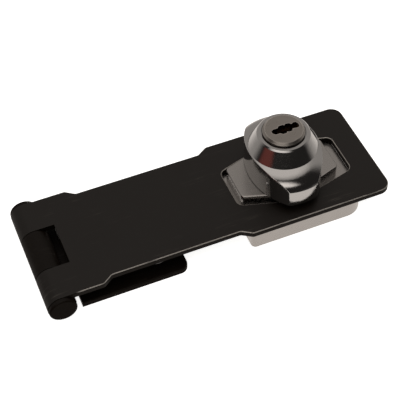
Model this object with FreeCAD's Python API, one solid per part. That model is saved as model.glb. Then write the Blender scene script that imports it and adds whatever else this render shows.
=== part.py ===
import FreeCAD, Part

import math
import os

from FreeCAD import Vector

# Twist-knob keyed hasp lock: a hinged steel strap over a chrome lock base.
#
# Millimetres.  The mounting plane is z = 0 and +Z points away from the door.
# +X runs along the strap from the hinge to the tip, +Y across it.  The origin
# is the middle of the bounding box on the mounting plane.

# ---------------------------------------------------------------- dimensions
CUT_MARGIN = 1.0            # how far a cutter runs past the face that it opens
FUSE_LAP = 0.5              # how far joined shapes run into each other
PICK_MARGIN = 1.0           # slack when edges are picked by their place

# Hinge: two strap knuckles either side of one leaf knuckle on a riveted pin.
SHEET = 2.0                 # steel thickness of strap and leaf
BARREL_R = 4.75             # outside of the rolled knuckles
PIN_R = 2.70
PIN_CLEARANCE = 0.05
PIN_HEAD_R = 4.60
PIN_HEAD_THICK = 1.50
PIN_HEAD_ROUND = 0.60
MID_KNUCKLE_HALF = 8.00     # leaf knuckle half length along the pin
KNUCKLE_SEAM = 0.25
STRAP_CURL_END_DEG = 335.0  # strap curls over the top, round the back and under
LEAF_CURL_END_DEG = 30.0    # leaf curls under, round the back and over the top

# Strap outline, measured from the pin axis along the strap.
STRAP_LENGTH = 115.40
SHOULDER_HALF = 20.50
WAIST_HALF = 18.20
SHOULDER_END = 14.30
WAIST_START = 17.60
WAIST_END = 61.50
HEAD_START = 65.10
HEAD_CORNER_R = 4.00
STEP_ROUND = 1.60
NOTCH_END = 6.95
EDGE_ROUND = 0.35

# Leaf outline, measured from the pin axis.
LEAF_HALF = 19.70
LEAF_START = 6.60
LEAF_ROOT_START = 4.50       # the leaf reaches nearer the pin behind its knuckle
LEAF_ROOT_HALF = 14.00
LEAF_END = 43.10
LEAF_CORNER_R = 3.00
LEAF_HOLE_NEAR_X = 16.00
LEAF_HOLE_FAR_X = 34.60
LEAF_HOLE_Y = 10.50
SCREW_HOLE_R = 2.20
SCREW_SINK_R = 4.00
SINK_DEPTH = 1.60

# Lock base: a cast box with a long six-sided boss that fills the strap window.
LOCK_X = 84.40              # spindle axis, from the pin axis
BASE_FRONT = 18.90          # from the spindle towards the hinge
BASE_BACK = 22.40           # from the spindle towards the tip
BASE_HALF = 19.20
BASE_TOP = 7.30
BASE_FRONT_CORNER_R = 1.60  # upright corners nearer the hinge
BASE_BACK_CORNER_R = 6.50   # upright corners nearer the tip
BASE_INNER_CORNER_R = 0.80  # smallest corner inside the box
BASE_WALL = 2.60
BASE_ROOF = 2.00
BASE_EDGE_ROUND = 0.50
BOSS_TOP = 11.70
BOSS_HALF_LENGTH = 17.50
BOSS_END_HALF = 6.80
BOSS_MID_HALF = 12.40
BOSS_CORNER_R = 1.50
BOSS_EDGE_ROUND = 0.45
POST_R = 4.60               # screw posts in the four corners of the box
POST_X = 14.00
POST_Y = 14.00
PLATE_THICK = 1.20
PLATE_RECESS = 0.10
PLATE_RIM = 1.60
PLATE_GAP = 0.10
COVER_SCREW_Y = 14.60
COVER_SCREW_R = 1.40
COVER_SCREW_HEAD_R = 2.40
COVER_SCREW_LENGTH = 4.70
COVER_POST_R = 3.00
COVER_HEAD_PLAY = 0.05
COVER_SHANK_PLAY = 0.02
COVER_TIP_GAP = 0.30
DRIVE_HALF_LENGTH = 1.60
DRIVE_HALF_WIDTH = 0.25
DRIVE_DEPTH = 0.45

# Window in the strap that drops over the boss.
WINDOW_FRONT = 19.10
WINDOW_BACK = 22.10
WINDOW_END_HALF = 7.80
WINDOW_MID_HALF = 13.60
WINDOW_CORNER_R = 2.40

# Twist knob: domed wings under a cone, carried by a spindle through the boss.
WING_BOTTOM = 11.95
WING_R = 17.10
WING_SIDE_HALF = 11.80
WING_SIDE_R = 23.00
WING_CORNER_R = 0.90
WING_RIM_ROUND = 0.26
DOME_CENTRE_R = 9.50
DOME_CENTRE_Z = 15.50
DOME_R = 8.00
CONE_FOOT_R = 11.50
CONE_TOP_R = 8.80
CONE_TOP = 28.30
LIP_TOP = 28.80
LIP_BEVEL = 0.45
LIP_INNER_R = 7.35
LIP_SHOULDER = 27.60
SPINDLE_R = 8.50
SPINDLE_CLEARANCE = 0.05
SPINDLE_END = 2.60
RING_GROOVE_R = 7.50
RING_GROOVE_LOW = 3.50
RING_GROOVE_HIGH = 4.60
STOP_TRACK_R = 5.00
STOP_TRACK_HALF_WIDTH = 1.10
STOP_TRACK_TOP = 4.40
STOP_TRACK_HALF_DEG = 57.50
KNOB_TURN_DEG = 90.0

# Lock cylinder.
PLUG_R = 6.60
PLUG_CLEARANCE = 0.05
PLUG_TOP = 30.20
PLUG_HEAD_R = 6.95          # head of the plug, standing in the lip of the cone
PLUG_HEAD_LOW = 27.90
PLUG_CHAMFER = 0.70
PLUG_BOTTOM = 12.60
CHAMBER_FLOOR = 9.75
KEYWAY_FRONT = 4.20
KEYWAY_BACK = 5.30
KEYWAY_END_HALF = 0.50
KEYWAY_ROOF = 1.20          # plug left solid over the clip
# Lobes and wards as (place along the slot, half width there), one run per side.
KEYWAY_RIGHT = (
    (-3.4, 1.3), (-1.8, 1.3), (-1.2, 2.0), (0.0, 2.0), (0.6, 1.5), (1.2, 1.8),
    (2.2, 1.8), (2.7, 0.9), (3.9, 1.1), (4.8, 1.1),
)
KEYWAY_LEFT = (
    (4.8, 1.4), (4.0, 1.5), (3.2, 1.0), (2.6, 1.7), (1.4, 1.9), (0.8, 1.4),
    (0.4, 1.8), (-1.1, 1.8), (-1.7, 1.1), (-3.4, 1.0),
)
CLIP_LOW = 13.20
CLIP_HIGH = 14.00
CLIP_R = 7.50
CLIP_SEAT_R = 5.80
CLIP_PLAY = 0.15
CLIP_GAP_HALF = 1.60
CLIP_SEAT_PLAY = 0.05
WAFER_COUNT = 5
WAFER_TOP_Z = 26.60
WAFER_PITCH = 2.55
WAFER_THICK = 1.00
WAFER_HALF_LENGTH = 6.20
WAFER_HALF_WIDTH = 2.50
WAFER_PLAY = 0.06
WAFER_WINDOW_HALF_LENGTH = 3.00
WAFER_WINDOW_HALF_WIDTH = 1.25
WAFER_BITTING = (0.50, -0.60, 0.90, 0.10, -0.40)
WAFER_SPRING_Y = 3.60
WAFER_SPRING_R = 0.65
WAFER_SPRING_WIRE_R = 0.16
WAFER_SPRING_LENGTH = 4.00
WAFER_SPRING_TURNS = 5
WAFER_SPRING_END_GAP = 0.20
WAFER_SPRING_SIDE_GAP = 0.08
WAFER_SETBACK = 0.10        # wafer ends inside the plug's surface
CAM_R = 5.60
CAM_BOTTOM = 9.95
CAM_TOP = 12.50
CAM_STEM_HALF = 2.00
CAM_STEM_TOP = 13.90
CAM_PIN_R = 1.00
CAM_PIN_OFFSET = 1.60
CAM_PIN_START_DEG = 135.0
CAM_PIN_LOW = 7.90
CAM_STEM_END_GAP = 0.10

# Locking bolt that the cam drives across the spindle into the boss.
BOLT_LOW = 7.72
BOLT_HIGH = 9.68
BOLT_HALF_WIDTH = 3.00
BOLT_TAIL = 5.80
BOLT_NOSE = 7.60
BOLT_PLAY = 0.05
BOLT_SLOT_PLAY = 0.12       # all round the cam pin, so the slot stays closed at both ends
POCKET_DEPTH_R = 10.40
POCKET_HALF_WIDTH = 3.20
POCKET_PLAY = 0.12

# Spindle retaining parts.
WASHER_LOW = 4.72
WASHER_HIGH = 5.24
WASHER_INNER_R = 8.70
WASHER_R = 10.80
RING_LOW = 3.60
RING_HIGH = 4.50
RING_INNER_R = 7.60
RING_R = 10.60
RING_GAP_HALF = 2.60
STOP_PIN_R = 1.00
STOP_PIN_DEG = 45.0
STOP_PIN_TOP = 4.25

# ------------------------------------------------------------ derived places
X_MIN = -0.5 * (STRAP_LENGTH + BARREL_R)
PIN_X = X_MIN + BARREL_R
SPINDLE_X = PIN_X + LOCK_X
PIN_Z = BARREL_R
STRAP_TOP = 2.0 * BARREL_R
STRAP_BOTTOM = STRAP_TOP - SHEET
KNUCKLE_BORE_R = PIN_R + PIN_CLEARANCE
ROOF_UNDERSIDE = BASE_TOP - BASE_ROOF
PLATE_SEAT = PLATE_RECESS + PLATE_THICK

Z_AXIS = Vector(0, 0, 1)
Y_AXIS = Vector(0, 1, 0)


# ------------------------------------------------------------------- helpers
def prism(points, low, high):
    """Extrude a closed plan outline between two heights."""
    corners = [Vector(x, y, low) for x, y in points]
    wire = Part.makePolygon(corners + corners[:1])
    return Part.Face(wire).extrude(Vector(0, 0, high - low))


def block(x0, x1, y0, y1, z0, z1):
    """Axis-aligned box from its limits."""
    return Part.makeBox(x1 - x0, y1 - y0, z1 - z0, Vector(x0, y0, z0))


def rod(radius, low, high, x=0.0, y=0.0):
    """Upright cylinder between two heights."""
    return Part.makeCylinder(radius, high - low, Vector(x, y, low))


def ring(outer, inner, low, high):
    """Upright tube about the local Z axis."""
    return rod(outer, low, high).cut(rod(inner, low, high))


def upright_edges(shape, test):
    """Straight vertical edges whose plan position passes the test."""
    found = []
    for edge in shape.Edges:
        start = edge.Vertexes[0].Point
        end = edge.Vertexes[-1].Point
        vertical = abs(start.x - end.x) < 1e-6 and abs(start.y - end.y) < 1e-6
        if vertical and abs(start.z - end.z) > 1e-6 and test(start.x, start.y):
            found.append(edge)
    return found


def level_edges(shape, height, test=None):
    """Edges that lie wholly at one height."""
    found = []
    for edge in shape.Edges:
        box = edge.BoundBox
        if abs(box.ZMin - height) < 1e-5 and abs(box.ZMax - height) < 1e-5:
            if test is None or test(edge):
                found.append(edge)
    return found


def six_sided(front, back, end_half, mid_half):
    """Plan of a long hexagonal lozenge with square ends, about the spindle."""
    return [
        (-front, -end_half),
        (0.0, -mid_half),
        (back, -end_half),
        (back, end_half),
        (0.0, mid_half),
        (-front, end_half),
    ]


def is_end_corner(x, y):
    """True for the four end corners of a lozenge, not its two side points."""
    return abs(x) > PICK_MARGIN


def knuckle_arc(start_deg, end_deg, y0, y1):
    """Part of a rolled knuckle: a ring sector round the pin axis.

    Angles run from +X towards +Z, seen from the near side.
    """
    sweep = end_deg - start_deg
    base = Vector(PIN_X, y1, PIN_Z)
    outer = Part.makeCylinder(BARREL_R, y1 - y0, base, Vector(0, -1, 0), sweep)
    outer.rotate(base, Y_AXIS, -start_deg)
    bore_start = Vector(PIN_X, y0 - CUT_MARGIN, PIN_Z)
    bore = Part.makeCylinder(KNUCKLE_BORE_R, y1 - y0 + 2.0 * CUT_MARGIN, bore_start, Y_AXIS)
    return outer.cut(bore)


def countersunk_hole(x, y, top):
    """Cutter for a screw hole sunk from the given height down through z = 0."""
    hole = rod(SCREW_HOLE_R, -CUT_MARGIN, top + CUT_MARGIN, x, y)
    sink = Part.makeCone(SCREW_HOLE_R, SCREW_SINK_R, SINK_DEPTH, Vector(x, y, top - SINK_DEPTH))
    return hole.fuse(sink)


def at_spindle(shape):
    """Move a shape built about the local Z axis onto the spindle axis."""
    placed = shape.copy()
    placed.translate(Vector(SPINDLE_X, 0, 0))
    return placed


def one_solid(shape):
    """Clean up a boolean result and return its single solid."""
    solids = shape.removeSplitter().Solids
    if len(solids) != 1:
        raise ValueError("expected one solid, got %d" % len(solids))
    return solids[0]


# --------------------------------------------------------------------- hinge
def make_strap():
    """Flat strap: shoulders at the hinge, narrower waist, wider head."""
    half = [
        (0.0, SHOULDER_HALF),
        (SHOULDER_END, SHOULDER_HALF),
        (WAIST_START, WAIST_HALF),
        (WAIST_END, WAIST_HALF),
        (HEAD_START, SHOULDER_HALF),
        (STRAP_LENGTH, SHOULDER_HALF),
    ]
    outline = [(PIN_X + x, y) for x, y in half]
    outline += [(PIN_X + x, -y) for x, y in reversed(half)]
    plate = prism(outline, STRAP_BOTTOM, STRAP_TOP)
    tip = upright_edges(plate, lambda x, y: x > PIN_X + STRAP_LENGTH - PICK_MARGIN)
    plate = plate.makeFillet(HEAD_CORNER_R, tip)
    steps = upright_edges(plate, lambda x, y: near_steps(x - PIN_X))
    plate = plate.makeFillet(STEP_ROUND, steps)

    window = prism(
        six_sided(WINDOW_FRONT, WINDOW_BACK, WINDOW_END_HALF, WINDOW_MID_HALF),
        STRAP_BOTTOM - CUT_MARGIN,
        STRAP_TOP + CUT_MARGIN,
    )
    window = window.makeFillet(WINDOW_CORNER_R, upright_edges(window, is_end_corner))
    plate = plate.cut(at_spindle(window))
    plate = plate.makeFillet(EDGE_ROUND, level_edges(plate, STRAP_TOP, clear_of_hinge))

    notch_half = MID_KNUCKLE_HALF + KNUCKLE_SEAM
    notch = block(
        PIN_X - BARREL_R - CUT_MARGIN, PIN_X + NOTCH_END,
        -notch_half, notch_half,
        -CUT_MARGIN, STRAP_TOP + CUT_MARGIN,
    )
    far = knuckle_arc(90.0, STRAP_CURL_END_DEG, notch_half, SHOULDER_HALF)
    near = knuckle_arc(90.0, STRAP_CURL_END_DEG, -SHOULDER_HALF, -notch_half)
    return one_solid(plate.cut(notch).fuse([far, near]))


def near_steps(along):
    """True for a place along the strap at one of its two changes of width."""
    return SHOULDER_END - PICK_MARGIN < along < HEAD_START + PICK_MARGIN


def clear_of_hinge(edge):
    """True for an edge that doesn't reach the start of the knuckles."""
    return edge.BoundBox.XMin > PIN_X + 1e-3


def make_leaf():
    """Base leaf: screwed down under the strap, one knuckle in the middle."""
    plate = block(
        PIN_X + LEAF_START, PIN_X + LEAF_END,
        -LEAF_HALF, LEAF_HALF,
        0.0, SHEET,
    )
    free_end = upright_edges(plate, lambda x, y: x > PIN_X + LEAF_END - PICK_MARGIN)
    plate = plate.makeFillet(LEAF_CORNER_R, free_end)
    plate = plate.makeFillet(EDGE_ROUND, level_edges(plate, SHEET))
    for x in (LEAF_HOLE_NEAR_X, LEAF_HOLE_FAR_X):
        for y in (-LEAF_HOLE_Y, LEAF_HOLE_Y):
            plate = plate.cut(countersunk_hole(PIN_X + x, y, SHEET))
    tongue = block(
        PIN_X, PIN_X + LEAF_START + FUSE_LAP,
        -MID_KNUCKLE_HALF, MID_KNUCKLE_HALF,
        0.0, SHEET,
    )
    root = block(
        PIN_X + LEAF_ROOT_START, PIN_X + LEAF_START + FUSE_LAP,
        -LEAF_ROOT_HALF, LEAF_ROOT_HALF,
        0.0, SHEET,
    )
    curl = knuckle_arc(LEAF_CURL_END_DEG, 270.0, -MID_KNUCKLE_HALF, MID_KNUCKLE_HALF)
    return one_solid(plate.fuse([tongue, root, curl]))


def make_pin():
    """Riveted hinge pin with a formed head at each end."""
    end = SHOULDER_HALF + KNUCKLE_SEAM * 0.5
    shank = Part.makeCylinder(PIN_R, 2.0 * end, Vector(PIN_X, -end, PIN_Z), Y_AXIS)
    heads = []
    for side in (-1.0, 1.0):
        head = Part.makeCylinder(
            PIN_HEAD_R, PIN_HEAD_THICK, Vector(PIN_X, side * end, PIN_Z), Vector(0, side, 0)
        )
        face_y = side * (end + PIN_HEAD_THICK)
        rim = [e for e in head.Edges if abs(e.BoundBox.YMin - face_y) < 1e-5
               and abs(e.BoundBox.YMax - face_y) < 1e-5]
        heads.append(head.makeFillet(PIN_HEAD_ROUND, rim))
    return one_solid(shank.fuse(heads))


# ----------------------------------------------------------------- lock base
def base_outline(inset, low, high):
    """Rounded plan of the lock base, set in from its outside faces."""
    shape = block(
        -BASE_FRONT + inset, BASE_BACK - inset,
        -BASE_HALF + inset, BASE_HALF - inset,
        low, high,
    )
    front_r = max(BASE_FRONT_CORNER_R - inset, BASE_INNER_CORNER_R)
    shape = shape.makeFillet(front_r, upright_edges(shape, lambda x, y: x < 0.0))
    sharp = upright_edges(shape, lambda x, y: x > BASE_BACK - inset - PICK_MARGIN)
    return shape.makeFillet(BASE_BACK_CORNER_R - inset, sharp)


def make_lock_base():
    """Cast box, open underneath, with screw posts and the boss on top."""
    shell = base_outline(0.0, 0.0, BASE_TOP)
    shell = shell.makeFillet(BASE_EDGE_ROUND, level_edges(shell, BASE_TOP))
    shell = shell.cut(base_outline(BASE_WALL, -CUT_MARGIN, ROOF_UNDERSIDE))
    shell = shell.cut(base_outline(PLATE_RIM, -CUT_MARGIN, PLATE_SEAT))

    boss = prism(
        six_sided(BOSS_HALF_LENGTH, BOSS_HALF_LENGTH, BOSS_END_HALF, BOSS_MID_HALF),
        ROOF_UNDERSIDE + FUSE_LAP,
        BOSS_TOP,
    )
    boss = boss.makeFillet(BOSS_CORNER_R, upright_edges(boss, is_end_corner))
    boss = boss.makeFillet(BOSS_EDGE_ROUND, level_edges(boss, BOSS_TOP))
    posts = [rod(POST_R, PLATE_SEAT, ROOF_UNDERSIDE + FUSE_LAP, x, y) for x, y in post_places()]
    posts += [rod(COVER_POST_R, PLATE_SEAT, ROOF_UNDERSIDE + FUSE_LAP, 0.0, y)
              for y in (-COVER_SCREW_Y, COVER_SCREW_Y)]
    body = shell.fuse([boss] + posts)
    for x, y in post_places():
        body = body.cut(countersunk_hole(x, y, BASE_TOP))
    for y in (-COVER_SCREW_Y, COVER_SCREW_Y):
        body = body.cut(rod(COVER_SCREW_R, 0.0, COVER_SCREW_LENGTH + COVER_TIP_GAP, 0.0, y))
    body = body.cut(rod(SPINDLE_R + SPINDLE_CLEARANCE, 0.0, BOSS_TOP + CUT_MARGIN))
    pocket = block(
        0.0, POCKET_DEPTH_R,
        -POCKET_HALF_WIDTH, POCKET_HALF_WIDTH,
        BOLT_LOW - POCKET_PLAY, BOLT_HIGH + POCKET_PLAY,
    )
    turned = pocket.copy()
    turned.rotate(Vector(0, 0, 0), Z_AXIS, KNOB_TURN_DEG)
    return one_solid(body.cut([pocket, turned]))


def post_places():
    """Plan positions of the four mounting screws about the spindle."""
    return [(x, y) for x in (-POST_X, POST_X) for y in (-POST_Y, POST_Y)]


def make_back_plate():
    """Steel plate let into the underside of the box, carrying the stop pin."""
    plate = base_outline(PLATE_RIM + PLATE_GAP, PLATE_RECESS, PLATE_SEAT)
    for x, y in post_places():
        plate = plate.cut(rod(SCREW_HOLE_R, -CUT_MARGIN, PLATE_SEAT + CUT_MARGIN, x, y))
    for y in (-COVER_SCREW_Y, COVER_SCREW_Y):
        plate = plate.cut(rod(COVER_SCREW_R, -CUT_MARGIN, PLATE_SEAT + CUT_MARGIN, 0.0, y))
        sink = Part.makeCone(
            COVER_SCREW_HEAD_R, COVER_SCREW_R,
            COVER_SCREW_HEAD_R - COVER_SCREW_R, Vector(0.0, y, PLATE_RECESS)
        )
        plate = plate.cut(sink)
    pin_x, pin_y = stop_pin_place()
    return one_solid(plate.cut(rod(STOP_PIN_R, -CUT_MARGIN, PLATE_SEAT + CUT_MARGIN, pin_x, pin_y)))


def stop_pin_place():
    """Plan position of the stop pin about the spindle."""
    angle = math.radians(STOP_PIN_DEG)
    return STOP_TRACK_R * math.cos(angle), STOP_TRACK_R * math.sin(angle)


def make_stop_pin():
    """Pin that limits the knob to a quarter turn."""
    x, y = stop_pin_place()
    return rod(STOP_PIN_R, PLATE_RECESS, STOP_PIN_TOP, x, y)


def make_cover_screws():
    """Two countersunk screws that hold the back plate up in the box."""
    screws = []
    for y in (-COVER_SCREW_Y, COVER_SCREW_Y):
        low = PLATE_RECESS + COVER_HEAD_PLAY
        head_r = COVER_SCREW_HEAD_R - COVER_HEAD_PLAY
        head = Part.makeCone(head_r, COVER_SCREW_R, head_r - COVER_SCREW_R, Vector(0.0, y, low))
        shank = rod(COVER_SCREW_R - COVER_SHANK_PLAY, low, COVER_SCREW_LENGTH, 0.0, y)
        drive = block(
            -DRIVE_HALF_LENGTH, DRIVE_HALF_LENGTH,
            y - DRIVE_HALF_WIDTH, y + DRIVE_HALF_WIDTH,
            low - CUT_MARGIN, low + DRIVE_DEPTH,
        )
        screws.append(one_solid(head.fuse(shank).cut(drive)))
    return Part.makeCompound(screws)


# ---------------------------------------------------------------------- knob
def make_knob():
    """Domed wings and cone turned about the spindle, with the sides cut in."""
    foot_z = DOME_CENTRE_Z + math.sqrt(DOME_R ** 2 - (CONE_FOOT_R - DOME_CENTRE_R) ** 2)
    rim_z = DOME_CENTRE_Z + math.sqrt(DOME_R ** 2 - (WING_R - DOME_CENTRE_R) ** 2)
    foot_angle = math.atan2(foot_z - DOME_CENTRE_Z, CONE_FOOT_R - DOME_CENTRE_R)
    rim_angle = math.atan2(rim_z - DOME_CENTRE_Z, WING_R - DOME_CENTRE_R)
    middle = 0.5 * (foot_angle + rim_angle)
    foot = Vector(CONE_FOOT_R, 0, foot_z)
    rim = Vector(WING_R, 0, rim_z)
    crest = Vector(
        DOME_CENTRE_R + DOME_R * math.cos(middle), 0, DOME_CENTRE_Z + DOME_R * math.sin(middle)
    )
    lip_out = Vector(CONE_TOP_R, 0, CONE_TOP)
    lip_top = Vector(CONE_TOP_R - LIP_BEVEL, 0, LIP_TOP)
    edges = [
        Part.makeLine(Vector(0, 0, WING_BOTTOM), Vector(WING_R, 0, WING_BOTTOM)),
        Part.makeLine(Vector(WING_R, 0, WING_BOTTOM), rim),
        Part.Arc(rim, crest, foot).toShape(),
        Part.makeLine(foot, lip_out),
        Part.makeLine(lip_out, lip_top),
        Part.makeLine(lip_top, Vector(0, 0, LIP_TOP)),
        Part.makeLine(Vector(0, 0, LIP_TOP), Vector(0, 0, WING_BOTTOM)),
    ]
    turned = Part.Face(Part.Wire(edges)).revolve(Vector(0, 0, 0), Z_AXIS, 360.0)
    offset = WING_SIDE_R - WING_SIDE_HALF
    side = rod(WING_SIDE_R, WING_BOTTOM, LIP_TOP, offset)
    opposite = side.copy()
    opposite.rotate(Vector(0, 0, 0), Z_AXIS, 180.0)
    wings = one_solid(turned.common(side.common(opposite)))
    corners = upright_edges(wings, lambda x, y: abs(y) > CONE_FOOT_R)
    wings = wings.makeFillet(WING_CORNER_R, corners)
    wings = wings.makeFillet(WING_RIM_ROUND, wing_rim(wings, foot_z))

    bore = rod(PLUG_R + PLUG_CLEARANCE, WING_BOTTOM - CUT_MARGIN, LIP_TOP + CUT_MARGIN)
    mouth = rod(LIP_INNER_R, LIP_SHOULDER, LIP_TOP + CUT_MARGIN)
    clip_room = rod(CLIP_R + CLIP_PLAY, CLIP_LOW - CLIP_PLAY, CLIP_HIGH + CLIP_PLAY)
    return one_solid(wings.cut([bore, mouth, clip_room]))


def make_spindle():
    """Turned tube under the knob, with the bolt's channel and the stop track."""
    tube = rod(SPINDLE_R, SPINDLE_END, WING_BOTTOM)
    chamber = rod(PLUG_R + PLUG_CLEARANCE, CHAMBER_FLOOR, WING_BOTTOM + CUT_MARGIN)
    channel = block(
        -SPINDLE_R - CUT_MARGIN, SPINDLE_R + CUT_MARGIN,
        -BOLT_HALF_WIDTH - BOLT_PLAY, BOLT_HALF_WIDTH + BOLT_PLAY,
        BOLT_LOW - BOLT_PLAY, CHAMBER_FLOOR,
    )
    groove = ring(SPINDLE_R + CUT_MARGIN, RING_GROOVE_R, RING_GROOVE_LOW, RING_GROOVE_HIGH)
    return one_solid(tube.cut([chamber, channel, groove, stop_track()]))


def wing_rim(wings, foot_z):
    """Edges round the top of the wings, below the foot of the cone."""
    found = []
    for edge in wings.Edges:
        box = edge.BoundBox
        upright = box.XMax - box.XMin < 1e-4 and box.YMax - box.YMin < 1e-4
        if box.ZMin > WING_BOTTOM + PICK_MARGIN and box.ZMax < foot_z - 1e-3 and not upright:
            found.append(edge)
    return found


def stop_track():
    """Arc groove in the spindle's end that the stop pin runs in."""
    width = STOP_TRACK_HALF_WIDTH
    sector = Part.makeCylinder(
        STOP_TRACK_R + width, STOP_TRACK_TOP - SPINDLE_END + CUT_MARGIN,
        Vector(0, 0, SPINDLE_END - CUT_MARGIN), Z_AXIS, 2.0 * STOP_TRACK_HALF_DEG
    )
    sector.rotate(Vector(0, 0, 0), Z_AXIS, -STOP_TRACK_HALF_DEG)
    core = rod(STOP_TRACK_R - width, SPINDLE_END - CUT_MARGIN, STOP_TRACK_TOP)
    return sector.cut(core)


def make_washer():
    """Spring washer between the box roof and the retaining ring."""
    return ring(WASHER_R, WASHER_INNER_R, WASHER_LOW, WASHER_HIGH)


def make_retaining_ring():
    """Open ring sprung into the spindle groove."""
    whole = ring(RING_R, RING_INNER_R, RING_LOW, RING_HIGH)
    gap = block(
        -RING_R - CUT_MARGIN, 0.0,
        -RING_GAP_HALF, RING_GAP_HALF,
        RING_LOW - CUT_MARGIN, RING_HIGH + CUT_MARGIN,
    )
    return one_solid(whole.cut(gap))


# ------------------------------------------------------------- lock cylinder
def wafer_levels():
    """Bottom height of each wafer, first one nearest the key."""
    return [WAFER_TOP_Z - WAFER_PITCH * i for i in range(WAFER_COUNT)]


def keyway(low, high):
    """Warded key slot, with lobes on both sides along its length."""
    outline = [(-KEYWAY_FRONT, -KEYWAY_END_HALF)]
    outline += [(x, -half) for x, half in KEYWAY_RIGHT]
    outline += [(KEYWAY_BACK, -KEYWAY_END_HALF), (KEYWAY_BACK, KEYWAY_END_HALF)]
    outline += list(KEYWAY_LEFT)
    outline.append((-KEYWAY_FRONT, KEYWAY_END_HALF))
    return prism(outline, low, high)


def make_plug():
    """Turning plug with the keyway and a slot and spring hole per wafer."""
    head = rod(PLUG_HEAD_R, PLUG_HEAD_LOW, PLUG_TOP)
    head = head.makeChamfer(PLUG_CHAMFER, level_edges(head, PLUG_TOP))
    plug = rod(PLUG_R, PLUG_BOTTOM, PLUG_HEAD_LOW + FUSE_LAP).fuse(head)
    cutters = [keyway(CLIP_HIGH + KEYWAY_ROOF, PLUG_TOP + CUT_MARGIN)]
    for low in wafer_levels():
        cutters.append(wafer_slot(low))
        cutters.append(spring_hole(low))
    cutters.append(ring(PLUG_R + CUT_MARGIN, CLIP_SEAT_R, CLIP_LOW, CLIP_HIGH))
    socket = CAM_STEM_HALF + WAFER_PLAY
    cutters.append(block(
        -socket, socket,
        -socket, socket,
        PLUG_BOTTOM - CUT_MARGIN, CAM_STEM_TOP + CAM_STEM_END_GAP,
    ))
    return one_solid(plug.cut(cutters))


def wafer_slot(low):
    """Cutter for the slot right across the plug that one wafer slides in."""
    return block(
        -PLUG_R - CUT_MARGIN, PLUG_R + CUT_MARGIN,
        -WAFER_HALF_WIDTH - WAFER_PLAY, WAFER_HALF_WIDTH + WAFER_PLAY,
        low - WAFER_PLAY, low + WAFER_THICK + WAFER_PLAY,
    )


def spring_hole(low):
    """Cross hole beside a wafer slot that holds its spring."""
    half = WAFER_SPRING_LENGTH * 0.5 + WAFER_SPRING_END_GAP
    radius = WAFER_SPRING_R + WAFER_SPRING_WIRE_R + WAFER_SPRING_SIDE_GAP
    start = Vector(-half, WAFER_SPRING_Y, low + WAFER_THICK * 0.5)
    return Part.makeCylinder(radius, 2.0 * half, start, Vector(1, 0, 0))


def make_wafer(index):
    """Brass wafer with its key window moved along by its own bitting."""
    low = wafer_levels()[index]
    plate = block(
        -WAFER_HALF_LENGTH, WAFER_HALF_LENGTH,
        -WAFER_HALF_WIDTH, WAFER_HALF_WIDTH,
        low, low + WAFER_THICK,
    )
    shift = WAFER_BITTING[index]
    window = block(
        shift - WAFER_WINDOW_HALF_LENGTH, shift + WAFER_WINDOW_HALF_LENGTH,
        -WAFER_WINDOW_HALF_WIDTH, WAFER_WINDOW_HALF_WIDTH,
        low - CUT_MARGIN, low + WAFER_THICK + CUT_MARGIN,
    )
    rounded = plate.common(rod(PLUG_R - WAFER_SETBACK, low - CUT_MARGIN, low + WAFER_THICK + CUT_MARGIN))
    return one_solid(rounded.cut(window))


def make_wafer_springs():
    """One small coil spring beside each wafer."""
    springs = []
    pitch = WAFER_SPRING_LENGTH / WAFER_SPRING_TURNS
    helix = Part.makeHelix(pitch, WAFER_SPRING_LENGTH, WAFER_SPRING_R)
    circle = Part.Circle(Vector(WAFER_SPRING_R, 0, 0), Vector(0, 1, 0), WAFER_SPRING_WIRE_R)
    profile = Part.Wire([circle.toShape()])
    coil = Part.Wire(helix.Edges).makePipeShell([profile], True, True)
    coil.rotate(Vector(0, 0, 0), Y_AXIS, 90.0)
    for low in wafer_levels():
        spring = coil.copy()
        spring.translate(
            Vector(-WAFER_SPRING_LENGTH * 0.5, WAFER_SPRING_Y, low + WAFER_THICK * 0.5)
        )
        springs.append(spring)
    return Part.makeCompound(springs)


def make_plug_clip():
    """Open clip that keeps the plug down in the knob."""
    whole = ring(
        CLIP_R, CLIP_SEAT_R + CLIP_SEAT_PLAY,
        CLIP_LOW + CLIP_SEAT_PLAY, CLIP_HIGH - CLIP_SEAT_PLAY,
    )
    gap = block(
        0.0, CLIP_R + CUT_MARGIN,
        -CLIP_GAP_HALF, CLIP_GAP_HALF,
        CLIP_LOW - CUT_MARGIN, CLIP_HIGH + CUT_MARGIN,
    )
    return one_solid(whole.cut(gap))


def make_cam():
    """Cam keyed into the plug, with an offset pin that drives the bolt."""
    angle = math.radians(CAM_PIN_START_DEG)
    disc = rod(CAM_R, CAM_BOTTOM, CAM_TOP)
    stem = block(
        -CAM_STEM_HALF, CAM_STEM_HALF,
        -CAM_STEM_HALF, CAM_STEM_HALF,
        CAM_TOP - FUSE_LAP, CAM_STEM_TOP,
    )
    pin = rod(
        CAM_PIN_R, CAM_PIN_LOW, CAM_BOTTOM + FUSE_LAP,
        CAM_PIN_OFFSET * math.cos(angle), CAM_PIN_OFFSET * math.sin(angle)
    )
    return one_solid(disc.fuse([stem, pin]))


def make_bolt():
    """Flat bolt across the spindle, cross-slotted for the cam pin."""
    bar = block(
        -BOLT_TAIL, BOLT_NOSE,
        -BOLT_HALF_WIDTH, BOLT_HALF_WIDTH,
        BOLT_LOW, BOLT_HIGH,
    )
    start = math.radians(CAM_PIN_START_DEG)
    centre = CAM_PIN_OFFSET * math.cos(start)
    half = CAM_PIN_R + BOLT_SLOT_PLAY
    slot = block(
        centre - half, centre + half,
        CAM_PIN_OFFSET * math.sin(start) - half, CAM_PIN_OFFSET + half,
        BOLT_LOW - CUT_MARGIN, BOLT_HIGH + CUT_MARGIN,
    )
    return one_solid(bar.cut(slot))


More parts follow.
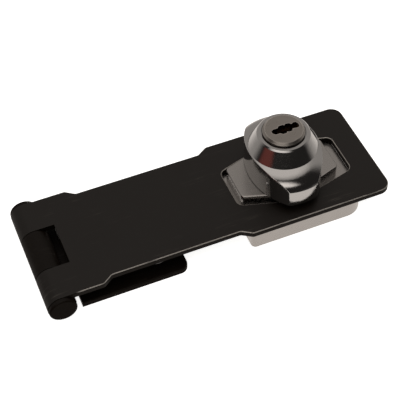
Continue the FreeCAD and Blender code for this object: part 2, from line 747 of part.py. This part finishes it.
# -------------------------------------------------------------------- export
def all_nodes():
    """Every node by name, in place."""
    nodes = {
        "hasp_strap": make_strap(),
        "base_leaf": make_leaf(),
        "hinge_pin": make_pin(),
        "lock_base": at_spindle(make_lock_base()),
        "back_plate": at_spindle(make_back_plate()),
        "back_plate_screws": at_spindle(make_cover_screws()),
        "stop_pin": at_spindle(make_stop_pin()),
        "twist_knob": at_spindle(make_knob()),
        "knob_spindle": at_spindle(make_spindle()),
        "spring_washer": at_spindle(make_washer()),
        "retaining_ring": at_spindle(make_retaining_ring()),
        "lock_plug": at_spindle(make_plug()),
        "plug_clip": at_spindle(make_plug_clip()),
        "plug_cam": at_spindle(make_cam()),
        "locking_bolt": at_spindle(make_bolt()),
        "wafer_springs": at_spindle(make_wafer_springs()),
    }
    for index in range(WAFER_COUNT):
        nodes["wafer_%d" % (index + 1)] = at_spindle(make_wafer(index))
    return nodes


def main():
    os.makedirs("parts", exist_ok=True)
    for name, shape in all_nodes().items():
        for solid in shape.Solids:
            if not solid.isValid():
                raise ValueError("%s is not a valid solid" % name)
        shape.exportStep("parts/%s.step" % name)


if __name__ == "__main__":
    main()
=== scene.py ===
import math

import bpy
from bpy.props import FloatProperty, FloatVectorProperty, PointerProperty
from mathutils import Matrix, Vector


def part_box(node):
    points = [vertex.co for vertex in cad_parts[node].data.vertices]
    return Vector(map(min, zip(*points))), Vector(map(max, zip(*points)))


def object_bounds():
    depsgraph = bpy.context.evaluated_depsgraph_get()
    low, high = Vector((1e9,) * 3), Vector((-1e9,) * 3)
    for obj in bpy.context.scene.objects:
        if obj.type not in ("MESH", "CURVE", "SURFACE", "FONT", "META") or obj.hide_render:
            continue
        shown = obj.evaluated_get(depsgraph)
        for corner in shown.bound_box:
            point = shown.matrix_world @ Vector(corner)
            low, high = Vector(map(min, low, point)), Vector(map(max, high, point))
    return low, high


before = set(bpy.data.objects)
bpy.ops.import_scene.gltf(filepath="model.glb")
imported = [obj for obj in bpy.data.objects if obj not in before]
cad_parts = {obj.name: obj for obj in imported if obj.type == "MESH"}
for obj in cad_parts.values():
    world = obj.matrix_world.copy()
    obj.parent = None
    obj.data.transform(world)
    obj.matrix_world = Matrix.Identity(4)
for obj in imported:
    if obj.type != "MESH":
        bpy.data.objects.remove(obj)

bl_info = {
    "name": "Keyed Hasp Lock",
    "version": (1, 0, 0),
    "blender": (4, 5, 0),
    "location": "3D View > Sidebar > Hasp Lock",
    "description": "Gives a packed hasp lock its finishes and a small studio",
    "category": "Object",
}

MM = 0.001

CAD_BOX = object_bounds()
KNOB_LOW, KNOB_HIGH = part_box("twist_knob")
PLUG_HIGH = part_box("lock_plug")[1]
STRAP_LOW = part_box("hasp_strap")[0]

# The strap is flat from just past its knuckles, and from there its rims are bright bare steel:
# partly rubbed through, partly a painted highlight.
KNUCKLE_WIDTH = 9.5 * MM
PLATE_START = STRAP_LOW.x + KNUCKLE_WIDTH
RIM_FADE = 3.0 * MM

# The strap's sheen, and the lower sheen of the leaf's and the pin's enamel, which is painted shade.
STRAP_SHINE = 0.42
SHADED_SHINE = 0.16
SCUFF_COLOUR = "#4a453f"

# The keyway lies inside this radius, and its walls start just below the plug's face.
KEYWAY_REACH = 5.2 * MM
PLUG_SKIN = 0.08 * MM

# A wave pattern of scale 1 has a ring every tau / 20.
WAVE_PITCH = math.tau / 20.0

# The knob is centred on its spindle's axis, and the plug turns on it too.
SPINDLE = (KNOB_LOW + KNOB_HIGH) * 0.5

SHADED_ENAMEL = ("base_leaf", "hinge_pin")
ZINC_PLATED = ("back_plate", "back_plate_screws", "knob_spindle", "plug_cam", "locking_bolt")
TEMPERED = ("stop_pin", "spring_washer", "retaining_ring", "plug_clip", "wafer_springs")
WAFERS = tuple("wafer_%d" % number for number in range(1, 6))


# --------------------------------------------------------------- small helpers
def linear(hex_colour):
    """Linear RGBA of an sRGB hex colour."""
    channels = [int(hex_colour[i:i + 2], 16) / 255.0 for i in (1, 3, 5)]
    lit = [c / 12.92 if c <= 0.04045 else ((c + 0.055) / 1.055) ** 2.4 for c in channels]
    return (*lit, 1.0)


def per_metre(size_mm):
    """Pattern scale that gives features of this size, in metre coordinates."""
    return 1.0 / (size_mm * MM)


def add_node(tree, kind, inputs=None, **settings):
    """Add a node: settings are its own fields, inputs are values or sockets."""
    node = tree.nodes.new(kind)
    for name, value in settings.items():
        setattr(node, name, value)
    for name, value in (inputs or {}).items():
        if isinstance(value, bpy.types.NodeSocket):
            tree.links.new(value, node.inputs[name])
        else:
            node.inputs[name].default_value = value
    return node


def mask_inside(tree, *limits):
    """0 to 1 mask inside soft-edged limits, each given as a value, its 0 and its 1."""
    mask = 1.0
    for value, none, whole in limits:
        edge = add_node(tree, "ShaderNodeMapRange", {
            "Value": value, "From Min": none, "From Max": whole,
        }, interpolation_type="SMOOTHSTEP")
        mask = add_node(tree, "ShaderNodeMath", {
            0: mask, 1: edge.outputs["Result"],
        }, operation="MULTIPLY").outputs["Value"]
    return mask


def new_material(name):
    """An empty node material, with its tree and its output node."""
    material = bpy.data.materials.new(name)
    material.use_nodes = True
    tree = material.node_tree
    tree.nodes.clear()
    return material, tree, tree.nodes.new("ShaderNodeOutputMaterial")


def dress(names, material):
    """Give CAD nodes their finish."""
    for name in names:
        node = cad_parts[name]
        node.data.materials.clear()
        node.data.materials.append(material)


def colour_property(name, description, hex_colour):
    return FloatVectorProperty(
        name=name, description=description, subtype="COLOR", size=4, min=0.0, max=1.0,
        default=linear(hex_colour),
    )


# -------------------------------------------------------------------- settings
class HaspFinishSettings(bpy.types.PropertyGroup):
    enamel: colour_property("Enamel", "Colour of the black baked enamel", "#0f0a06")
    # Also the colour of the painted highlights on the strap's rims and the plug's edges.
    bare_steel_and_highlight: colour_property("Worn steel", "Steel where the enamel is rubbed off", "#d2cdc6")
    chrome: colour_property("Chrome", "Reflection colour of the bright plating", "#c6c5c4")
    satin_chrome: colour_property("Satin chrome", "Reflection colour of the box", "#b9b6b3")
    nickel: colour_property("Nickel", "Reflection colour of the plug's face", "#a9a49e")
    brass: colour_property("Brass", "Reflection colour of bare brass", "#b3946a")
    tarnish: colour_property("Tarnish", "Colour of oily brass down in the keyway", "#4b4034")
    zinc: colour_property("Zinc", "Reflection colour of the zinc plate", "#b4b7bb")
    spring: colour_property("Spring steel", "Reflection colour of tempered steel", "#77797c")
    # Share of the strap's rims made bright bare steel, which is partly a painted highlight.
    wear_and_highlight: FloatProperty(
        name="Wear", description="Share of the sharp edges that are rubbed bright",
        default=0.85, min=0.0, max=1.0, subtype="FACTOR",
    )
    # Reach of the plug's edge mask, which is rubbing and a painted highlight.
    edge_width: FloatProperty(
        name="Edge width", description="How far wear reaches in from a sharp edge",
        default=0.5 * MM, min=0.05 * MM, max=3.0 * MM, unit="LENGTH",
    )


class HaspStudioSettings(bpy.types.PropertyGroup):
    floor: colour_property("Floor", "Colour of the studio floor", "#f3f3f2")
    azimuth: FloatProperty(
        name="Azimuth", description="Camera direction round the lock",
        default=math.radians(-21.09), subtype="ANGLE",
    )
    elevation: FloatProperty(
        name="Elevation", description="Camera height above the horizon",
        default=math.radians(49.68), subtype="ANGLE",
    )
    roll: FloatProperty(
        name="Roll", description="Turn of the camera about its own line of sight",
        default=math.radians(-1.61), subtype="ANGLE",
    )
    distance: FloatProperty(
        name="Distance", description="From the camera to the point it looks at",
        default=374.94 * MM, unit="LENGTH",
    )
    lens: FloatProperty(
        name="Lens", description="Focal length on a 36 mm sensor, in millimetres", default=101.88,
    )
    aim: FloatVectorProperty(
        name="Aim", description="Point that the camera looks at",
        default=(-0.395 * MM, 0.400 * MM, 8.036 * MM), subtype="TRANSLATION", unit="LENGTH",
    )
    key_power: FloatProperty(
        name="Key power", description="Power of the softbox overhead, in watts",
        default=4.0, min=0.0,
    )
    surround: FloatProperty(
        name="Surround", description="Brightness of the studio behind and beside the lock",
        default=0.34, min=0.0,
    )
    overhead: FloatProperty(
        name="Overhead", description="Brightness of the studio overhead",
        default=0.72, min=0.0,
    )
    front: FloatProperty(
        name="Front", description="Brightness of the dim side of the studio, low in front",
        default=0.02, min=0.0,
    )
    window: FloatProperty(
        name="Window", description="Brightness of the low window on the near side",
        default=1.10, min=0.0,
    )
    table: FloatProperty(
        name="Table", description="Brightness of the light table under the paper",
        default=0.97, min=0.0,
    )
    bounce: FloatProperty(
        name="Bounce", description="Brightness of the table as the plating reflects it",
        default=0.78, min=0.0,
    )


# ------------------------------------------------------------------- materials
def plug_edge_rubs_and_highlight(tree, width):
    """0 to 1 mask where the plug's sharp edges, on faces that look up, are rubbed and carry a
    painted highlight.
    """
    rounded = add_node(tree, "ShaderNodeBevel", {"Radius": width}, samples=6)
    flat = add_node(tree, "ShaderNodeNewGeometry")
    alike = add_node(tree, "ShaderNodeVectorMath", {
        0: rounded.outputs["Normal"], 1: flat.outputs["Normal"],
    }, operation="DOT_PRODUCT")
    edge = add_node(tree, "ShaderNodeMapRange", {
        "Value": alike.outputs["Value"], "From Min": 0.998, "From Max": 0.96,
    })
    place = add_node(tree, "ShaderNodeTexCoord")
    patches = add_node(tree, "ShaderNodeTexNoise", {
        "Vector": place.outputs["Object"], "Scale": per_metre(4.0), "Detail": 6.0, "Roughness": 0.7,
    })
    rubbed = add_node(tree, "ShaderNodeMapRange", {
        "Value": patches.outputs["Fac"], "From Min": 0.32, "From Max": 0.42,
    })
    up = add_node(tree, "ShaderNodeSeparateXYZ", {"Vector": flat.outputs["Normal"]})
    facing = add_node(tree, "ShaderNodeMapRange", {
        "Value": up.outputs["Z"], "From Min": 0.15, "From Max": 0.45,
    })
    rubbed_and_lit = add_node(tree, "ShaderNodeMath", {
        0: edge.outputs["Result"], 1: rubbed.outputs["Result"],
    }, operation="MULTIPLY")
    return add_node(tree, "ShaderNodeMath", {
        0: rubbed_and_lit.outputs["Value"], 1: facing.outputs["Result"],
    }, operation="MULTIPLY").outputs["Value"]


def black_enamel(name, settings, shine, wear_and_highlight):
    """Baked enamel, sprayed on pressed steel and cured in an oven.

    It reads as a warm black with a soft sheen.  The spray leaves a faint orange
    peel, sliding against the boss leaves long pale rubs along the strap, and
    the strap's rounded rims are bright bare steel, partly rubbed through and
    partly a painted highlight.  The sheen fades on the sides, as painted shade.
    """
    material, tree, output = new_material(name)
    place = add_node(tree, "ShaderNodeTexCoord").outputs["Object"]
    peel = add_node(tree, "ShaderNodeTexNoise", {
        "Vector": place, "Scale": per_metre(0.8), "Detail": 3.0, "Roughness": 0.55,
    })
    cloud = add_node(tree, "ShaderNodeTexNoise", {
        "Vector": place, "Scale": per_metre(14.0), "Detail": 4.0, "Roughness": 0.6,
    })
    # Rubs are drawn out along the strap: 22 mm long and 0.7 mm wide.
    drawn_out = add_node(tree, "ShaderNodeMapping", {
        "Vector": place, "Scale": (per_metre(22.0), per_metre(0.7), per_metre(22.0)),
    })
    streaks = add_node(tree, "ShaderNodeTexNoise", {
        "Vector": drawn_out.outputs["Vector"], "Scale": 1.0, "Detail": 5.0, "Roughness": 0.65,
    })
    rubs = add_node(tree, "ShaderNodeMapRange", {
        "Value": streaks.outputs["Fac"], "From Min": 0.60, "From Max": 0.74,
    })
    rub_zone = add_node(tree, "ShaderNodeMapRange", {
        "Value": cloud.outputs["Fac"], "From Min": 0.50, "From Max": 0.62,
    })
    scuff = add_node(tree, "ShaderNodeMath", {
        0: rubs.outputs["Result"], 1: rub_zone.outputs["Result"],
    }, operation="MULTIPLY").outputs["Value"]
    paint = add_node(tree, "ShaderNodeMix", {
        "Factor": scuff, "A": settings.enamel, "B": linear(SCUFF_COLOUR),
    }, data_type="RGBA")
    normal = add_node(tree, "ShaderNodeNewGeometry").outputs["Normal"]
    upward = add_node(tree, "ShaderNodeSeparateXYZ", {"Vector": normal}).outputs["Z"]
    along = add_node(tree, "ShaderNodeSeparateXYZ", {"Vector": place}).outputs["X"]
    # Bright bare steel is painted on the rounded rims, which look neither straight up nor sideways:
    # partly rubbed through, partly a painted highlight along the edges.
    rim_rubbed_and_lit = mask_inside(
        tree, (upward, 0.985, 0.93), (upward, 0.25, 0.50),
        (along, PLATE_START, PLATE_START + RIM_FADE),
        (streaks.outputs["Fac"], 0.60 - 0.3 * wear_and_highlight, 0.66 - 0.3 * wear_and_highlight),
    )
    bare = add_node(tree, "ShaderNodeMath", {0: rim_rubbed_and_lit, 1: wear_and_highlight}, operation="MULTIPLY").outputs["Value"]
    colour = add_node(tree, "ShaderNodeMix", {
        "Factor": bare, "A": paint.outputs["Result"], "B": settings.bare_steel_and_highlight,
    }, data_type="RGBA")
    sheen = add_node(tree, "ShaderNodeMapRange", {
        "Value": cloud.outputs["Fac"], "From Min": 0.3, "From Max": 0.7,
        "To Min": 0.38, "To Max": 0.50,
    })
    rough = add_node(tree, "ShaderNodeMix", {
        "Factor": scuff, "A": sheen.outputs["Result"], "B": 0.60,
    })
    bump = add_node(tree, "ShaderNodeBump", {
        "Height": peel.outputs["Fac"], "Strength": 0.35, "Distance": 0.02 * MM,
    })
    # Painted shade: the sheen fades from the faces that look up to the sides, so that the sides read
    # darker.
    shine_shaded_on_sides = add_node(tree, "ShaderNodeMapRange", {
        "Value": upward, "From Min": 0.30, "From Max": 0.97,
        "To Min": 0.15 * shine, "To Max": shine,
    }, interpolation_type="SMOOTHSTEP").outputs["Result"]
    shader = add_node(tree, "ShaderNodeBsdfPrincipled", {
        "Base Color": colour.outputs["Result"],
        "Metallic": bare,
        "Roughness": rough.outputs["Result"],
        "IOR": 1.50,
        "Specular IOR Level": shine_shaded_on_sides,
        "Normal": bump.outputs["Normal"],
    })
    tree.links.new(shader.outputs["BSDF"], output.inputs["Surface"])
    return material


def plated_zinc(name, colour, low_rough, high_rough, ripple_mm, pit_mm, pit_depth_mm):
    """Die-cast zinc, buffed and chrome plated.

    The plating follows the casting, so the mirror is never quite flat: broad
    ripples bend the reflections and fine pits break a highlight into specks.
    """
    material, tree, output = new_material(name)
    place = add_node(tree, "ShaderNodeTexCoord").outputs["Object"]
    ripple = add_node(tree, "ShaderNodeTexNoise", {
        "Vector": place, "Scale": per_metre(ripple_mm), "Detail": 2.0, "Roughness": 0.5,
    })
    pits = add_node(tree, "ShaderNodeTexNoise", {
        "Vector": place, "Scale": per_metre(pit_mm), "Detail": 2.0, "Roughness": 0.6,
    })
    haze = add_node(tree, "ShaderNodeTexNoise", {
        "Vector": place, "Scale": per_metre(5.0), "Detail": 5.0, "Roughness": 0.65,
    })
    rough = add_node(tree, "ShaderNodeMapRange", {
        "Value": haze.outputs["Fac"], "From Min": 0.3, "From Max": 0.7,
        "To Min": low_rough, "To Max": high_rough,
    })
    broad = add_node(tree, "ShaderNodeBump", {
        "Height": ripple.outputs["Fac"], "Strength": 1.0, "Distance": 0.03 * MM,
    })
    fine = add_node(tree, "ShaderNodeBump", {
        "Height": pits.outputs["Fac"], "Strength": 1.0, "Distance": pit_depth_mm * MM,
        "Normal": broad.outputs["Normal"],
    })
    # Painted shade: the base colour darkens in the inside corners, by how hidden they are.
    corner = add_node(tree, "ShaderNodeAmbientOcclusion", {"Distance": 0.8 * MM}, samples=12)
    painted_corner_shade = add_node(tree, "ShaderNodeMapRange", {
        "Value": corner.outputs["AO"], "From Min": 0.25, "From Max": 0.75,
        "To Min": 0.60, "To Max": 1.0,
    })
    shaded = add_node(tree, "ShaderNodeVectorMath", {
        0: colour[:3], 1: painted_corner_shade.outputs["Result"],
    }, operation="MULTIPLY")
    shader = add_node(tree, "ShaderNodeBsdfPrincipled", {
        "Base Color": shaded.outputs["Vector"],
        "Metallic": 1.0,
        "Roughness": rough.outputs["Result"],
        "Normal": fine.outputs["Normal"],
    })
    tree.links.new(shader.outputs["BSDF"], output.inputs["Surface"])
    return material


def nickel_over_brass(settings):
    """Brass plug, faced on a lathe and nickel plated, with a broached keyway.

    The face is a soft grey with faint rings from the tool.  The keyway was cut
    after plating and shows brass gone dark with oil.
    """
    material, tree, output = new_material("nickel_plated_brass")
    place = add_node(tree, "ShaderNodeTexCoord").outputs["Object"]
    from_axis = add_node(tree, "ShaderNodeVectorMath", {
        0: place, 1: (SPINDLE.x, SPINDLE.y, 0.0),
    }, operation="SUBTRACT")
    flat = add_node(tree, "ShaderNodeVectorMath", {
        0: from_axis.outputs["Vector"], 1: (1.0, 1.0, 0.0),
    }, operation="MULTIPLY")
    # Tool rings are a tenth of a millimetre apart, drawn two millimetres apart to show.
    rings = add_node(tree, "ShaderNodeTexWave", {
        "Vector": flat.outputs["Vector"], "Scale": WAVE_PITCH * per_metre(2.07),
        "Distortion": 0.4, "Detail": 2.0,
    }, wave_type="RINGS", rings_direction="SPHERICAL")
    haze = add_node(tree, "ShaderNodeTexNoise", {
        "Vector": place, "Scale": per_metre(2.5), "Detail": 5.0, "Roughness": 0.65,
    })
    rough = add_node(tree, "ShaderNodeMapRange", {
        "Value": haze.outputs["Fac"], "From Min": 0.3, "From Max": 0.7,
        "To Min": 0.26, "To Max": 0.38,
    })
    bump = add_node(tree, "ShaderNodeBump", {
        "Height": rings.outputs["Fac"], "Strength": 0.25, "Distance": 0.01 * MM,
    })
    height = add_node(tree, "ShaderNodeSeparateXYZ", {"Vector": place})
    below = add_node(tree, "ShaderNodeMath", {
        0: height.outputs["Z"], 1: PLUG_HIGH.z - PLUG_SKIN,
    }, operation="LESS_THAN")
    radius = add_node(tree, "ShaderNodeVectorMath", {0: flat.outputs["Vector"]}, operation="LENGTH")
    inside = add_node(tree, "ShaderNodeMath", {
        0: radius.outputs["Value"], 1: KEYWAY_REACH,
    }, operation="LESS_THAN")
    cut = add_node(tree, "ShaderNodeMath", {
        0: below.outputs["Value"], 1: inside.outputs["Value"],
    }, operation="MULTIPLY")
    # Painted highlight: the sharp edges that look up get the lighter bare steel colour, partly for
    # rubbing.
    plated = add_node(tree, "ShaderNodeMix", {
        "Factor": plug_edge_rubs_and_highlight(tree, settings.edge_width),
        "A": settings.nickel, "B": settings.bare_steel_and_highlight,
    }, data_type="RGBA")
    colour = add_node(tree, "ShaderNodeMix", {
        "Factor": cut.outputs["Value"], "A": plated.outputs["Result"], "B": settings.tarnish,
    }, data_type="RGBA")
    shader = add_node(tree, "ShaderNodeBsdfPrincipled", {
        "Base Color": colour.outputs["Result"],
        "Metallic": 1.0,
        "Roughness": rough.outputs["Result"],
        "Normal": bump.outputs["Normal"],
    })
    tree.links.new(shader.outputs["BSDF"], output.inputs["Surface"])
    return material


def worked_metal(name, colour, tint, grain_mm, low_rough, high_rough):
    """Plain metal, rolled or drawn, with the mottle that handling leaves.

    Tempering or passivating it tints it in slow patches, and rolling leaves a
    fine grain along X.
    """
    material, tree, output = new_material(name)
    place = add_node(tree, "ShaderNodeTexCoord").outputs["Object"]
    patches = add_node(tree, "ShaderNodeTexNoise", {
        "Vector": place, "Scale": per_metre(3.0), "Detail": 4.0, "Roughness": 0.6,
    })
    drawn_out = add_node(tree, "ShaderNodeMapping", {
        "Vector": place,
        "Scale": (per_metre(grain_mm * 12.0), per_metre(grain_mm), per_metre(grain_mm)),
    })
    grain = add_node(tree, "ShaderNodeTexNoise", {
        "Vector": drawn_out.outputs["Vector"], "Scale": 1.0, "Detail": 3.0, "Roughness": 0.6,
    })
    mixed = add_node(tree, "ShaderNodeMapRange", {
        "Value": patches.outputs["Fac"], "From Min": 0.35, "From Max": 0.65,
    })
    shade = add_node(tree, "ShaderNodeMix", {
        "Factor": mixed.outputs["Result"], "A": colour, "B": tint,
    }, data_type="RGBA")
    rough = add_node(tree, "ShaderNodeMapRange", {
        "Value": grain.outputs["Fac"], "From Min": 0.3, "From Max": 0.7,
        "To Min": low_rough, "To Max": high_rough,
    })
    bump = add_node(tree, "ShaderNodeBump", {
        "Height": grain.outputs["Fac"], "Strength": 0.4, "Distance": 0.01 * MM,
    })
    shader = add_node(tree, "ShaderNodeBsdfPrincipled", {
        "Base Color": shade.outputs["Result"],
        "Metallic": 1.0,
        "Roughness": rough.outputs["Result"],
        "Normal": bump.outputs["Normal"],
    })
    tree.links.new(shader.outputs["BSDF"], output.inputs["Surface"])
    return material


# ------------------------------------------------------------------- operators
class HASP_OT_strap_and_hinge(bpy.types.Operator):
    """Enamel the strap, the base leaf and the hinge pin"""
    bl_idname = "hasp.strap_and_hinge"
    bl_label = "Strap and Hinge"

    def execute(self, context):
        settings = context.scene.hasp_finish
        rubbed = black_enamel("black_baked_enamel", settings, STRAP_SHINE, settings.wear_and_highlight)
        dress(("hasp_strap",), rubbed)
        # Painted shade: the leaf and the pin get a copy of the enamel with less sheen than the
        # strap's top, and no bright rims.
        shaded_copy = black_enamel("shaded_black_enamel", settings, SHADED_SHINE, 0.0)
        dress(SHADED_ENAMEL, shaded_copy)
        return {"FINISHED"}


class HASP_OT_lock_base(bpy.types.Operator):
    """Plate the box and its boss"""
    bl_idname = "hasp.lock_base"
    bl_label = "Lock Base"

    def execute(self, context):
        colour = context.scene.hasp_finish.satin_chrome
        plating = plated_zinc(
            "satin_chrome_plate", colour, low_rough=0.20, high_rough=0.32,
            ripple_mm=6.0, pit_mm=0.6, pit_depth_mm=0.0008,
        )
        dress(("lock_base",), plating)
        return {"FINISHED"}


class HASP_OT_twist_knob(bpy.types.Operator):
    """Plate the knob with its wings"""
    bl_idname = "hasp.twist_knob"
    bl_label = "Twist Knob"

    def execute(self, context):
        colour = context.scene.hasp_finish.chrome
        plating = plated_zinc(
            "bright_chrome_plate", colour, low_rough=0.08, high_rough=0.16,
            ripple_mm=3.0, pit_mm=0.50, pit_depth_mm=0.010,
        )
        dress(("twist_knob",), plating)
        return {"FINISHED"}


class HASP_OT_key_plug(bpy.types.Operator):
    """Finish the key plug and the wafers in it"""
    bl_idname = "hasp.key_plug"
    bl_label = "Key Plug"

    def execute(self, context):
        settings = context.scene.hasp_finish
        dress(("lock_plug",), nickel_over_brass(settings))
        stamped = worked_metal(
            "stamped_brass", settings.brass, tint=linear("#5e4a35"),
            grain_mm=0.15, low_rough=0.16, high_rough=0.28,
        )
        dress(WAFERS, stamped)
        return {"FINISHED"}


class HASP_OT_inner_parts(bpy.types.Operator):
    """Finish the spindle, the back plate, the cam, the bolt, the springs and the rings"""
    bl_idname = "hasp.inner_parts"
    bl_label = "Inner Parts"

    def execute(self, context):
        settings = context.scene.hasp_finish
        zinc = worked_metal(
            "clear_zinc_plate", settings.zinc, tint=linear("#a3a9b4"),
            grain_mm=0.25, low_rough=0.26, high_rough=0.40,
        )
        dress(ZINC_PLATED, zinc)
        temper = worked_metal(
            "tempered_spring_steel", settings.spring, tint=linear("#5d6068"),
            grain_mm=0.15, low_rough=0.28, high_rough=0.42,
        )
        dress(TEMPERED, temper)
        return {"FINISHED"}


class HASP_OT_studio(bpy.types.Operator):
    """Build the floor, the soft lights and the camera"""
    bl_idname = "hasp.studio"
    bl_label = "Studio"

    def execute(self, context):
        settings = context.scene.hasp_studio
        build_floor(settings)
        build_lights(settings)
        build_camera(context.scene, settings)
        context.scene.view_settings.view_transform = "Standard"
        return {"FINISHED"}


# ---------------------------------------------------------------------- studio
# Sizes and places are in metres.
FLOOR_HALF = 0.17
FLOOR_GAP = 0.02 * MM       # below the lock, so that the two never share a plane
SOFTBOX_SIDE = 1.60
SOFTBOX_PLACE = (-0.05, 0.10, 0.80)
WINDOW_AZIMUTH = math.radians(-36.0)
ROOM_TINT = "#fff7f0"       # warm lamps
CURTAIN_AZIMUTH = math.radians(-75.0)
CURTAIN_COLOUR = "#6b3a34"


def build_floor(settings):
    """Pale matt paper on a light table, so that the lock's shadow stays faint."""
    mesh = bpy.data.meshes.new("studio_floor")
    corners = [(-FLOOR_HALF, -FLOOR_HALF), (FLOOR_HALF, -FLOOR_HALF),
               (FLOOR_HALF, FLOOR_HALF), (-FLOOR_HALF, FLOOR_HALF)]
    mesh.from_pydata([(x, y, CAD_BOX[0].z - FLOOR_GAP) for x, y in corners], [], [(0, 1, 2, 3)])
    floor = bpy.data.objects.new("studio_floor", mesh)
    bpy.context.scene.collection.objects.link(floor)
    material, tree, output = new_material("pale_matt_paper")
    place = add_node(tree, "ShaderNodeTexCoord").outputs["Object"]
    mottle = add_node(tree, "ShaderNodeTexNoise", {
        "Vector": place, "Scale": per_metre(60.0), "Detail": 3.0,
    })
    colour = add_node(tree, "ShaderNodeMix", {
        "Factor": mottle.outputs["Fac"], "A": settings.floor, "B": linear("#f6f6f5"),
    }, data_type="RGBA")
    shader = add_node(tree, "ShaderNodeBsdfPrincipled", {
        "Base Color": colour.outputs["Result"], "Roughness": 0.9,
        "Emission Color": colour.outputs["Result"], "Emission Strength": settings.table,
    })
    tree.links.new(shader.outputs["BSDF"], output.inputs["Surface"])
    mesh.materials.append(material)
    floor.visible_glossy = False


def from_angles(azimuth, elevation):
    """Unit vector towards a place given by its azimuth and elevation."""
    return Vector((
        math.sin(azimuth) * math.cos(elevation),
        -math.cos(azimuth) * math.cos(elevation),
        math.sin(elevation),
    ))


def build_lights(settings):
    """A wide softbox for the table, and the room that the plating reflects."""
    data = bpy.data.lights.new("softbox", "AREA")
    data.size = SOFTBOX_SIDE
    data.energy = settings.key_power
    softbox = bpy.data.objects.new("softbox", data)
    softbox.location = SOFTBOX_PLACE
    softbox.rotation_euler = (-Vector(SOFTBOX_PLACE)).to_track_quat("-Z", "Y").to_euler()
    softbox.visible_glossy = False
    bpy.context.scene.collection.objects.link(softbox)
    build_room(settings)


def build_room(settings):
    """Grey room: bright overhead, dim low on the near side but for a window and a curtain."""
    world = bpy.data.worlds.new("room")
    world.use_nodes = True
    tree = world.node_tree
    background = tree.nodes["Background"]
    direction = add_node(tree, "ShaderNodeTexCoord").outputs["Generated"]
    height = add_node(tree, "ShaderNodeSeparateXYZ", {"Vector": direction}).outputs["Z"]
    # How far a direction leans towards the near side, the window and the curtain, -1 to 1.
    near, window_side, curtain_side = (
        add_node(tree, "ShaderNodeVectorMath", {
            0: direction, 1: from_angles(azimuth, 0.0),
        }, operation="DOT_PRODUCT").outputs["Value"]
        for azimuth in (settings.azimuth, WINDOW_AZIMUTH, CURTAIN_AZIMUTH)
    )
    level = add_node(tree, "ShaderNodeMapRange", {
        "Value": height, "From Min": 0.80, "From Max": 0.97,
        "To Min": settings.surround, "To Max": settings.overhead,
    }, interpolation_type="SMOOTHSTEP").outputs["Result"]
    dim = mask_inside(tree, (height, 0.84, 0.74), (near, -0.25, 0.25))
    window = mask_inside(tree, (height, 0.24, 0.40), (height, 0.80, 0.58), (window_side, 0.55, 0.82))
    ground = mask_inside(tree, (height, -0.15, -0.50))
    patches = ((dim, settings.front), (window, settings.window), (ground, settings.bounce))
    for mask, brightness in patches:
        level = add_node(tree, "ShaderNodeMix", {
            "Factor": mask, "A": level, "B": brightness,
        }).outputs["Result"]
    tinted = add_node(tree, "ShaderNodeVectorMath", {
        0: level, 1: linear(ROOM_TINT)[:3],
    }, operation="MULTIPLY").outputs["Vector"]
    curtain = mask_inside(tree, (curtain_side, 0.90, 0.99))
    colour = add_node(tree, "ShaderNodeMix", {
        "Factor": curtain, "A": tinted, "B": linear(CURTAIN_COLOUR),
    }, data_type="RGBA").outputs["Result"]
    tree.links.new(colour, background.inputs["Color"])
    bpy.context.scene.world = world


def build_camera(scene, settings):
    """Camera given by its direction, roll and distance from the point it looks at."""
    back = from_angles(settings.azimuth, settings.elevation)
    right = Vector((0.0, 0.0, 1.0)).cross(back).normalized()
    up = back.cross(right)
    turn = Matrix((right, up, back)).transposed()
    data = bpy.data.cameras.new("camera")
    data.lens = settings.lens
    data.sensor_width = 36.0
    data.clip_start = 10.0 * MM
    camera = bpy.data.objects.new("camera", data)
    camera.matrix_world = (
        Matrix.Translation(Vector(settings.aim) + back * settings.distance)
        @ turn.to_4x4() @ Matrix.Rotation(settings.roll, 4, "Z")
    )
    scene.collection.objects.link(camera)
    scene.camera = camera


# ----------------------------------------------------------------------- panel
class VIEW3D_PT_hasp_lock(bpy.types.Panel):
    """The lock's finishes and the studio, in the order they are run"""
    bl_idname = "VIEW3D_PT_hasp_lock"
    bl_label = "Hasp Lock"
    bl_space_type = "VIEW_3D"
    bl_region_type = "UI"
    bl_category = "Hasp Lock"

    def draw(self, context):
        for settings in (context.scene.hasp_finish, context.scene.hasp_studio):
            column = self.layout.column(align=True)
            for name in settings.bl_rna.properties.keys():
                if name not in ("rna_type", "name"):
                    column.prop(settings, name)
        column = self.layout.column()
        for operator in OPERATORS:
            column.operator(operator.bl_idname)


OPERATORS = (
    HASP_OT_strap_and_hinge,
    HASP_OT_lock_base,
    HASP_OT_twist_knob,
    HASP_OT_key_plug,
    HASP_OT_inner_parts,
    HASP_OT_studio,
)
CLASSES = (HaspFinishSettings, HaspStudioSettings) + OPERATORS + (VIEW3D_PT_hasp_lock,)


def register():
    for each in CLASSES:
        bpy.utils.register_class(each)
    bpy.types.Scene.hasp_finish = PointerProperty(type=HaspFinishSettings)
    bpy.types.Scene.hasp_studio = PointerProperty(type=HaspStudioSettings)


def unregister():
    del bpy.types.Scene.hasp_studio
    del bpy.types.Scene.hasp_finish
    for each in reversed(CLASSES):
        bpy.utils.unregister_class(each)


def main():
    register()
    bpy.ops.hasp.strap_and_hinge()
    bpy.ops.hasp.lock_base()
    bpy.ops.hasp.twist_knob()
    bpy.ops.hasp.key_plug()
    bpy.ops.hasp.inner_parts()
    bpy.ops.hasp.studio()


if __name__ == "__main__":
    main()
